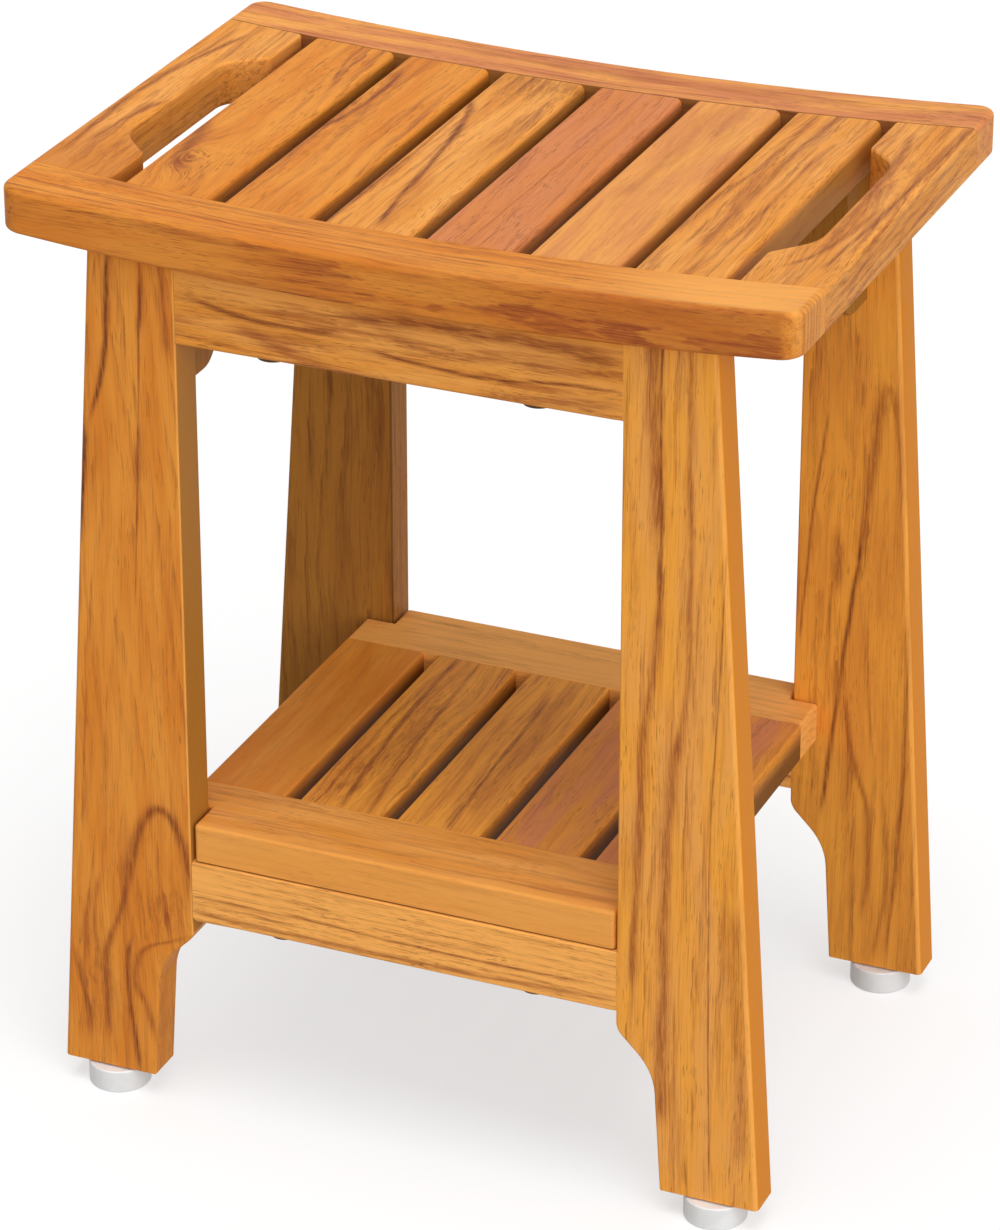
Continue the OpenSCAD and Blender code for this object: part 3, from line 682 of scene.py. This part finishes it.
LEG_FIGURES = {
    "front_left": dict(
        light=GOLD, deep=HONEY, spacing=6.5, heart=(2, 12), rise=0.13, lines=0.5, pores=0.4,
        pore_length=11, clouds=((20, -122, 13, 12, 1.0), (-18, -165, 10, 30, 0.7)),
        veins=((1.5, 1.0, 1.0, ((235, 4), (192, 2.1), (165, 0.2), (148, -3.2), (130, -8.1))),
               (2.0, 1.0, 1.0, ((124, -12), (94, -14), (66, -17))),
               (1.2, 1.0, 1.0, ((202, 19.2), (190, 18.8), (176, 17.6))),
               (0.6, 0.8, 0.5, ((230, 20), (176, 17.6), (154, 16.7), (40, 11))),
               (1.8, 0.8, 0.3, ((127, 15.5), (110, 14.5), (99, 13.8))),
               (1.8, 0.8, 0.3, ((235, 27), (207, 28.5), (190, 30), (166, 32.3))),
               (0.8, 0.7, 0.3, ((-10, -16), (-48, -18.9), (-84, -21))),
               (2.2, 0.9, 0.5, ((-108, 2.5), (-130, -3.9), (-144, -9.3), (-156, -12.2),
                                (-176, -11.8), (-196, -11))),
               (2.2, 0.7, 0.2, ((-122, -20), (-137, -22.6), (-153, -22.3))),
               (2.0, 0.9, 0.5, ((-157, -27.7), (-174, -24.6), (-184, -21.9), (-199, -21.9))),
               (1.8, 0.7, 0.2, ((-112, -14), (-136, -17.4), (-150, -16.4))),
               (2.2, 0.8, 0.3, ((-135, 29), (-139, 21), (-143.5, 11), (-152.5, 5), (-163.5, 4),
                                (-175.5, 8.7), (-190.5, 12.3))),
               (1.6, 1.0, 0.8, ((-141, 2), (-156, -0.3), (-173, 0.1), (-194, 2.9), (-214, 4.5)))),
        arches=((19.5, -68, 8.5, 2.8, 1.0, 0.6, 46),),
        # A painted highlight along the inner front arris, and the inner side face painted olive:
        # painted shade
        shades=((0.5, CREAM, ("across", 34.4, 34.9)), (0.9, OLIVE, ("across", 35.3, 35.6)))),
    "front_right": dict(
        light=WHEAT, deep=STRAW, spacing=7, heart=(26, 30), lines=0.55, pores=0.5, pore_length=10,
        wander=3,
        veins=((3.0, 1.0, 0.25, ((235, -21), (182, -21), (155, -20), (133, -18.5), (120, -18))),
               (0.8, 0.9, 0.9, ((235, -16.8), (176, -17.9), (131, -16.8), (101, -17), (75, -18))),
               (1.6, 0.9, 0.5, ((112, -17.6), (89, -16.8))),
               (2.2, 0.9, 0.15, ((85, -17), (47, -20.5), (18, -23.5), (-38, -26), (-105, -28))),
               (1.6, 0.8, 0.2, ((235, -4.6), (165, -4.4), (98, -2.5), (43, -4.2), (14, -7.7))),
               (3.2, 0.9, 0.15, ((25, -6), (0, -10.5), (-35, -12.6), (-108, -12.6), (-176, -12))),
               (0.4, 0.8, 0.8, ((120, 13.3), (52, 11.5), (-16, 8.7), (-104, 9.1), (-200, 11.6))),
               (3.6, 0.6, 0.0, ((-60, 20), (-93, 21.2), (-130, 24.1), (-187, 26.7)))),
        # A painted highlight along the outer front arris, and the outer side face painted ochre:
        # painted shade, against the sheen it takes at a slant
        shades=((0.45, CREAM, ("outward", 19.0, 19.8)), (0.95, OCHRE_PAINTED_SHADE, ("outward", 21.1, 21.5)))),
    "back_left": dict(
        light=WHEAT, deep=GOLD, spacing=5.5, heart=(20, 34), lines=0.8, broad=0.7, streaks=0.5,
        pores=0.5, pore_length=10,
        # The front face and the inner side painted towards moss: painted shade under the seat
        shades=((0.62, MOSS_PAINTED_SHADE, ("through", -8.4, -9.4)), (0.62, MOSS_PAINTED_SHADE, ("across", 34.4, 35.4)))),
    "back_right": dict(
        light=WHEAT, deep=GOLD, spacing=6, heart=(-18, 40), lines=0.5, pores=0.4,
        pore_length=10, wander=3, knots=((-26, 37, 5, 9, 3),), clouds=((10, 96, 5, 14, 0.6),),
        veins=((2.2, 0.9, 0.2, ((94, 6), (72, 2.5), (38, -0.9), (13, -3.6))),
               (1.4, 1.0, 0.7, ((20, -3), (-17, -7.3), (-58, -11.9), (-96, -15.4), (-130, -19))),
               (1.8, 0.8, 0.1, ((94, 11), (70, 15.2), (42, 17.9))),
               (2.6, 0.9, 0.3, ((20, -15.4), (-8, -14.7))),
               (1.5, 0.9, 0.3, ((20, 22), (-63, 22.5), (-114, 22), (-140, 21), (-200, 17))),
               (1.6, 0.8, 0.2, ((-70, -9), (-106, -2), (-131, 4.8), (-156, 5.7), (-183, 4))),
               (1.4, 0.7, 0.2, ((-120, 12), (-160, 15), (-205, 11))),
               (0.8, 0.8, 0.5, ((80, -22), (33, -27.6), (3, -30), (-37, -33)))),
        arches=((8, 100, 3.5, 2.4, 0.6, 0.0, 20),),
        # A painted highlight along the outer front arris, and the outer side face painted ochre:
        # painted shade, against the sheen it takes at a slant
        shades=((0.45, CREAM, ("outward", 19.0, 19.8)), (0.95, OCHRE_PAINTED_SHADE, ("outward", 21.1, 21.5)))),
}
APRON_FIGURE = dict(
    light=STRAW, deep=GOLD, spacing=6, heart=(-40, 4), lines=0.5, rise=0.02, wander=6,
    streaks=0.7, drawn_on="through",
    veins=((1.6, 1.0, 0.7, ((-99, 4.2), (-84, 0.6), (-60, -1.6), (-30, -1))),
           (3.2, 0.9, 0.2, ((-74, -6), (-53, -13), (-31, -19), (0, -22))),
           (3.5, 1.0, 0.4, ((-25, 8), (10, 10), (60, 10), (105, 7.5))),
           (2.4, 0.8, 0.2, ((-5, 3), (25, -2), (60, 0), (105, 1))),
           (1.0, 1.0, 0.8, ((-10, -6), (47, -10), (77, -6.6), (105, -6))),
           (3.0, 0.8, 0.2, ((40, -20), (75, -16), (105, -13)))))
STRETCHER_FIGURE = dict(
    light=CREAM, deep=CREAM, spacing=4.2, heart=(0, 90), lines=0.75, rise=0.012, streaks=0.25,
    drawn_on="through", knots=((0, -63, 6, 9, 6),), clouds=((0, -66, 8, 24, 0.8),),
    veins=((1.4, 0.8, 0.3, ((-105, -11), (0, -12), (105, -10))),
           (0.7, 0.8, 0.4, ((-60, -1), (20, -4), (90, -3)))))
# The corner blocks are a dark olive all over, as they look in the shade under the seat: painted
# shade
BLOCK_PAINTED_SHADE_FIGURE = dict(light=OLIVE, deep=OLIVE, spacing=5, heart=(14, 20), lines=0.5)


def leg(corner, seed):
    """A leg, left square where other boards meet it."""
    node = f"leg_{corner}"
    low, high = box_mm(node)
    inner_x = min(abs(low.x), abs(high.x))
    outer_x = inner_x + LEG_LEAST_WIDTH
    glide = middle_mm(f"glide_pad_{corner}")
    piece = board_from(node, f"leg_board_{corner}")
    for height in (apron_bottom, stretcher_high.z, stretcher_low.z):
        split_at(piece, height)

    def jointed(x, z):
        beside = stretcher_low.z < z < stretcher_high.z or z > apron_bottom
        screw_hole = block_low.z < z and block_low.x < abs(x) < block_high.x
        return (near(abs(x), inner_x) and beside) or screw_hole

    def arris(x, y, z):
        upright = near(y, low.y, high.y) and low.z + CLOSE < z < LEG_TOP
        return upright and not jointed(x, z)

    ease(piece, LEG_OUTER_EASE, lambda x, y, z: arris(x, y, z) and abs(x) > outer_x)
    ease(piece, LEG_INNER_EASE, lambda x, y, z: arris(x, y, z) and abs(x) < outer_x, segments=3)
    ease(piece, JOINT_EASE, lambda x, y, z: near(z, low.z)
         and math.hypot(x - glide.x, y - glide.y) > FOOT_HOLE, segments=2)
    place_piece(piece, node, teak_for(node, "z", seed, LEG_FIGURES[corner]), "frame")


def apron(row, seed):
    """A rail right under the seat, between two legs."""
    node = f"apron_{row}"
    low, high = box_mm(node)
    piece = board_from(node, f"apron_board_{row}")
    ease(piece, APRON_EASE, lambda x, y, z: near(z, low.z) and near(y, low.y, high.y))
    place_piece(piece, node, teak_for(node, "x", seed, APRON_FIGURE), "frame")


def stretcher(row, seed):
    """A low rail between two legs, under the shelf."""
    node = f"stretcher_{row}"
    low, high = box_mm(node)
    piece = board_from(node, f"stretcher_board_{row}")

    def arris(y, z, level):
        return near(z, level) and near(y, low.y, high.y)

    ease(piece, STRETCHER_LOWER_EASE, lambda x, y, z: arris(y, z, low.z))
    ease(piece, STRETCHER_UPPER_EASE, lambda x, y, z: arris(y, z, high.z), segments=3)
    material = teak_for(node, "x", seed, STRETCHER_FIGURE)
    place_piece(piece, node, material, "frame")


def corner_block(corner, seed):
    """A block in the corner behind a leg, under the seat."""
    node = f"corner_block_{corner}"
    low, high = box_mm(node)
    outer_y = max(abs(low.y), abs(high.y))
    piece = board_from(node, f"block_board_{corner}")
    ease(piece, BLOCK_EASE, lambda x, y, z: z < BLOCK_TOP and near(x, low.x, high.x)
         and not near(abs(y), outer_y), segments=3)
    place_piece(piece, node, teak_for(node, "z", seed, BLOCK_PAINTED_SHADE_FIGURE), "frame")


# ---------------------------------------------------------------- shelf

# How far the shelf's upper and lower edges are rounded
SHELF_UPPER_EASE = 1.8
SHELF_LOWER_EASE = 1.2
# How far out a shelf rail's outer face is at the least, and how far along the rail's ends start
SHELF_FACE = 120.5
SHELF_END = 100.0
# How far down from the shelf's top the edges that show at its slats' joints may lie
SLAT_TOP_BAND = 4.0

SHELF_FIGURES = [
    dict(light=GOLD, deep=HONEY, spacing=8, heart=(20, 60), lines=0.3, pores=0.2, streaks=0.2),
    dict(light=WHEAT, deep=GOLD, spacing=4.5, heart=(4, 18), lines=0.8, wander=9, pore_length=5,
         clouds=((-8, -50, 12, 30, 1.0), (0, 10, 14, 50, 0.7)),
         veins=((1.4, 0.9, 0.6, ((-80, 0), (0, -8), (80, -10))),
                (1.2, 0.8, 0.5, ((-80, 14), (0, 6), (80, 2))))),
    dict(light=WHEAT, deep=GOLD, spacing=5.5, heart=(-12, 22), lines=0.6, streaks=0.5,
         veins=((3.5, 0.6, 0.1, ((-60, 8), (80, 4))), (1.6, 0.9, 0.6, ((-80, 4), (60, -2))))),
    dict(light=SALMON, deep=GOLD, spacing=8, heart=(10, 60), lines=0.4, streaks=0.3),
    dict(light=SALMON, deep=GOLD, spacing=5, heart=(-20, 50), lines=0.4, streaks=0.2),
]
SHELF_RAIL_FIGURES = {
    "front": dict(light=STRAW, deep=GOLD, spacing=4.5, heart=(20, 50), lines=0.6, streaks=0.4,
                  shades=((0.6, STRAW, ("across", -13, -19)),
                          # The lower edge and the underside painted towards moss: painted shade in
                          # the crease over the stretcher
                          (0.9, MOSS_PAINTED_SHADE, ("through", -8.9, -9.5)))),
    "back": dict(light=CREAM, deep=CREAM, spacing=4.5, heart=(-14, 40), lines=0.5, streaks=0.2,
                 pores=0.3),
}


def shelf_rail(row, seed):
    """A long rail of the shelf, notched round the legs."""
    node = f"shelf_{row}_rail"
    low, high = box_mm(node)
    joint = min(abs(low.y), abs(high.y))
    piece = board_from(node, f"shelf_{row}_board")
    ease(piece, SHELF_UPPER_EASE, lambda x, y, z: near(z, high.z) and abs(y) > joint + CLOSE)
    ease(piece, SHELF_LOWER_EASE, lambda x, y, z: near(z, low.z) and abs(y) > joint + CLOSE
         and (abs(x) > SHELF_END or abs(y) > SHELF_FACE), segments=3)
    ease(piece, JOINT_EASE, lambda x, y, z: near(z, high.z) and near(abs(y), joint), segments=2)
    material = teak_for(node, "x", seed, SHELF_RAIL_FIGURES[row])
    place_piece(piece, node, material, "frame")


def shelf_slat(number, seed):
    """A slat of the shelf, between its long rails."""
    node = f"shelf_slat_{number}"
    low, high = box_mm(node)
    joints = (box_mm("shelf_front_rail")[1].y, box_mm("shelf_back_rail")[0].y)
    piece = board_from(node, f"shelf_slat_board_{number}")
    ease(piece, SLAT_EASE, lambda x, y, z: near(z, low.z) and not near(y, *joints), segments=3)
    ease(piece, JOINT_EASE, lambda x, y, z: z > high.z - SLAT_TOP_BAND and near(y, *joints),
         segments=2)
    figure = dict(shades=SLAT_GAP_PAINTED_SHADE, **SHELF_FIGURES[number - 1])
    place_piece(piece, node, teak_for(node, "y", seed, figure), "frame")


# ---------------------------------------------------------------- glides and hardware

# How far a glide's rims are rounded, its hole's radius and depth, and how many sides it has
PAD_EASE = 0.9
PAD_HOLE = 3.05
PAD_HOLE_DEPTH = 7.8
PAD_SIDES = 96
# The pitch and height of the stem's thread, how far its profile reaches before it's shaped, and
# how many steps one turn of it takes
PITCH = 1.0
THREAD_HEIGHT = 0.45
PROFILE = 0.5
THREAD_STEPS = 24
# How far the edges of the small metal parts and dowels are broken, and the least angle, in
# degrees, of those that are
BROKEN_EDGE = 0.3
BROKEN_ANGLE = 40


def white_plastic():
    """Moulded plastic, a little uneven in tone and gloss."""
    finish = Finish(bpy.data.materials.new("moulded_white_plastic"))
    place = finish.node("TexCoord", output="Object")
    grain = finish.node("TexNoise", None, {"Vector": place, "Scale": 1600.0})
    cloud = finish.node("TexNoise", None, {"Vector": place, "Scale": 90.0})
    return finish.surface(
        {"IOR": 1.5},
        Base_Color=finish.blend(cloud.rise(0.35, 0.7), (0.78, 0.78, 0.77), (0.84, 0.84, 0.84)),
        Roughness=0.36 + grain * 0.14,
        Normal=finish.bump(grain, 0.2, 0.03),
    )


def turned_metal(name, colour, roughness):
    """Metal with the fine rings that a lathe leaves round an upright shaft."""
    finish = Finish(bpy.data.materials.new(name))
    place = finish.node("TexCoord", output="Object")
    rings = finish.node("Mapping", None, {"Vector": place, "Scale": (60, 60, 2500)})
    marks = finish.node("TexNoise", None, {"Vector": rings, "Scale": 1.0, "Detail": 3.0})
    dark = tuple(0.8 * channel for channel in colour)
    return finish.surface(
        {"Metallic": 1.0},
        Base_Color=finish.blend(marks.rise(0.3, 0.7), dark, colour),
        Roughness=roughness + marks * 0.12,
        Normal=finish.bump(marks, 0.25, 0.04),
    )


def glide_pad(corner, material):
    """A moulded foot: a plain drum with rounded rims and a hole for its stem."""
    node = f"glide_pad_{corner}"
    low, high = box_mm(node)
    middle = (low + high) / 2
    radius = (high.x - low.x) / 2
    bpy.ops.object.select_all(action="DESELECT")
    bpy.ops.mesh.primitive_cylinder_add(
        vertices=PAD_SIDES, radius=radius * MM, depth=(high.z - low.z) * MM, location=middle * MM,
    )
    piece = name_piece(bpy.context.object, f"glide_foot_{corner}")
    bpy.ops.object.transform_apply(location=True, rotation=True, scale=True)
    ease(piece, PAD_EASE, lambda x, y, z: True, sharp=60)
    bpy.ops.object.mode_set(mode="EDIT")
    bpy.ops.mesh.select_mode(type="FACE")
    bpy.ops.mesh.select_all(action="DESELECT")
    mesh = bmesh.from_edit_mesh(piece.data)
    for face in mesh.faces:
        face.select_set(len(face.verts) == PAD_SIDES and face.normal.z > 0)
    bmesh.update_edit_mesh(piece.data)
    bpy.ops.mesh.inset(thickness=(radius - PAD_EASE - PAD_HOLE) * MM)
    down = {"value": (0, 0, -PAD_HOLE_DEPTH * MM)}
    bpy.ops.mesh.extrude_region_move(TRANSFORM_OT_translate=down)
    bpy.ops.object.mode_set(mode="OBJECT")
    place_piece(piece, node, material, f"glide_{corner}")


def thread_profile(node, name):
    """A thread's outline, with its open side towards the axis, one turn below a stem's foot."""
    low, high = box_mm(node)
    root = (high.x - low.x) / 2 - THREAD_HEIGHT
    foot = (low + high) / 2
    foot.z = low.z - PITCH
    bpy.ops.object.select_all(action="DESELECT")
    bpy.ops.mesh.primitive_circle_add(vertices=4, radius=PROFILE * MM, location=foot * MM)
    piece = name_piece(bpy.context.object, name)
    bpy.ops.object.mode_set(mode="EDIT")
    bpy.ops.transform.rotate(value=math.pi / 2, orient_axis="X", center_override=foot * MM)
    bpy.ops.transform.resize(value=(THREAD_HEIGHT / PROFILE, 1, 1), center_override=foot * MM)
    bpy.ops.transform.translate(value=(root * MM, 0, 0))
    bpy.ops.mesh.select_all(action="DESELECT")
    mesh = bmesh.from_edit_mesh(piece.data)
    for point in mesh.verts:
        point.select_set(point.co.x < (root - CLOSE) * MM)
    bmesh.update_edit_mesh(piece.data)
    bpy.ops.mesh.delete(type="VERT")
    bpy.ops.object.mode_set(mode="OBJECT")
    return piece


def wind_up(piece, length):
    """Winds a profile up round its axis until it has passed a length at both ends."""
    wound = piece.modifiers.new("Wound thread", "SCREW")
    wound.screw_offset = PITCH * MM
    wound.iterations = math.ceil(length / PITCH) + 2
    wound.steps = THREAD_STEPS
    wound.render_steps = THREAD_STEPS
    wound.use_merge_vertices = True
    wound.merge_threshold = 10 * SAME_POINT
    bpy.ops.object.modifier_apply(modifier="Wound thread")
    bpy.ops.object.transform_apply(location=True, rotation=True, scale=True)


def cut_square(piece, bottom, top):
    """Cuts a piece off level at its bottom and top, and closes it."""
    bpy.ops.object.mode_set(mode="EDIT")
    for level, up in ((bottom, -1), (top, 1)):
        bpy.ops.mesh.select_all(action="SELECT")
        bpy.ops.mesh.bisect(
            plane_co=(0, 0, level * MM), plane_no=(0, 0, up), clear_outer=True, use_fill=True,
            threshold=SAME_POINT,
        )
    bpy.ops.mesh.select_all(action="SELECT")
    bpy.ops.mesh.remove_doubles(threshold=5 * SAME_POINT)
    bpy.ops.mesh.normals_make_consistent(inside=False)
    bpy.ops.object.mode_set(mode="OBJECT")


def threaded_stem(corner, material):
    """A glide's stem: a ridge of thread wound up a shaft, then cut off square at both ends."""
    node = f"glide_stem_{corner}"
    low, high = box_mm(node)
    piece = thread_profile(node, f"glide_thread_{corner}")
    wind_up(piece, high.z - low.z)
    cut_square(piece, low.z, high.z)
    place_piece(piece, node, material, f"glide_{corner}")


def dress_node(node, material):
    """A small part keeps its CAD shape, with its edges just broken."""
    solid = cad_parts[node]
    solid.data.materials.clear()
    solid.data.materials.append(material)
    solid.modifiers.new("One skin", "WELD").merge_threshold = SAME_POINT
    broken = solid.modifiers.new("Broken edges", "BEVEL")
    broken.width = BROKEN_EDGE * MM
    broken.segments = 2
    broken.limit_method = "ANGLE"
    broken.angle_limit = math.radians(BROKEN_ANGLE)


BEECH_FIGURE = dict(light=(0.66, 0.42, 0.22), deep=(0.60, 0.37, 0.19), line=(0.45, 0.26, 0.13),
                    vein=(0.35, 0.20, 0.10), lines=0.3, spacing=2.0, pores=0.15)

# Each board's seed sets where its rings and grain fall
for index, row in enumerate(ROWS):
    seat_rail(row, 3.0 + index)
    apron(row, 13.0 + index)
    stretcher(row, 23.0 + index)
    shelf_rail(row, 33.0 + index)
for index, side in enumerate(SIDES):
    seat_end_rail(side, 43.0 + index)
for number in range(1, 7):
    seat_slat(number, 50.0 + number)
for number in range(1, 6):
    shelf_slat(number, 60.0 + number)
plastic = white_plastic()
for index, corner in enumerate(CORNERS):
    leg(corner, 70.0 + index)
    corner_block(corner, 80.0 + index)
    glide_pad(corner, plastic)

bronzed = turned_metal("bronzed_steel", (0.10, 0.055, 0.026), 0.42)
steel = turned_metal("satin_stainless_steel", (0.60, 0.59, 0.57), 0.30)
brass = turned_metal("turned_brass", (0.78, 0.58, 0.28), 0.32)
for node in ("seat_bolts", "shelf_bolts"):
    dress_node(node, bronzed)
dress_node("block_screws", steel)
for corner in CORNERS:
    threaded_stem(corner, steel)
for node in ("seat_inserts", "shelf_inserts", "leg_inserts"):
    dress_node(node, brass)
dress_node("block_dowels", teak_for("block_dowels", "z", 91.0, BEECH_FIGURE))

# ---------------------------------------------------------------- studio

# The photograph's view of the bench, in degrees and metres, and its lens in millimetres
VIEW_AZIMUTH = 22.99
VIEW_ELEVATION = 26.45
VIEW_AIM = Vector((-0.00215, -0.00346, 0.22836))
VIEW_DISTANCE = 2.41125
FOCAL_LENGTH = 149.04
SENSOR_HEIGHT = 36.0
# How pale the floor's paper is
PAPER = 0.45


def seen_directly(finish):
    """1 for what the camera, a mirror or a clear part sees, and 0 for light on the bench."""
    seen = finish.node("LightPath", output="Is Camera Ray")
    for path in ("Is Glossy Ray", "Is Transmission Ray"):
        seen = seen.math("MAXIMUM", finish.node("LightPath", output=path))
    return seen


def white_floor(light_level):
    """A pale floor that looks as white as the background and still takes the bench's shadow."""
    bpy.ops.object.select_all(action="DESELECT")
    bpy.ops.mesh.primitive_plane_add(size=16, location=(0, 0, 0))
    plane = name_piece(bpy.context.object, "studio_floor")
    finish = Finish(bpy.data.materials.new("white_paper_floor"))
    glow = seen_directly(finish) * (1.0 - PAPER * light_level)
    paper = finish.node("BsdfDiffuse", None, {"Color": (PAPER, PAPER, PAPER, 1)})
    white = finish.node("Emission", None, {"Color": (1, 1, 1, 1), "Strength": glow})
    both = finish.node("AddShader", None, {0: paper, 1: white})
    finish.node("OutputMaterial", None, {"Surface": both})
    plane.data.materials.append(finish.owner)


def white_room(strength):
    """Even white light, and a white background behind the bench."""
    world = bpy.data.worlds.new("white_room")
    bpy.context.scene.world = world
    finish = Finish(world)
    level = seen_directly(finish) * (1.0 - strength) + strength
    light = finish.node("Background", None, {"Color": (1, 1, 1, 1), "Strength": level})
    finish.node("OutputWorld", None, {"Surface": light})


def soft_lamp(name, towards, level, spread):
    """A wide soft lamp far off in a direction; a level of 1 lights a surface facing it fully."""
    lamp = bpy.data.lights.new(name, "SUN")
    lamp.energy = level * math.pi
    lamp.angle = math.radians(spread)
    holder = bpy.data.objects.new(name, lamp)
    bpy.context.scene.collection.objects.link(holder)
    holder.rotation_euler = (-Vector(towards)).to_track_quat("-Z", "Y").to_euler()


def photo_camera():
    """The photograph's view, worked out from the bench's straight edges."""
    azimuth = math.radians(VIEW_AZIMUTH)
    elevation = math.radians(VIEW_ELEVATION)
    back = Vector((
        math.sin(azimuth) * math.cos(elevation),
        -math.cos(azimuth) * math.cos(elevation),
        math.sin(elevation),
    ))
    lens = bpy.data.cameras.new("camera")
    lens.sensor_fit = "VERTICAL"
    lens.sensor_height = SENSOR_HEIGHT
    lens.lens = FOCAL_LENGTH
    holder = bpy.data.objects.new("camera", lens)
    bpy.context.scene.collection.objects.link(holder)
    holder.location = VIEW_AIM + back * VIEW_DISTANCE
    holder.rotation_euler = (-back).to_track_quat("-Z", "Y").to_euler()
    bpy.context.scene.camera = holder


white_floor(0.93)
white_room(0.44)
soft_lamp("top_lamp", (0.10, -0.20, 0.97), 0.46, 40)
soft_lamp("front_lamp", (0.70, -0.67, 0.25), 0.54, 60)
photo_camera()
bpy.context.scene.view_settings.view_transform = "Standard"
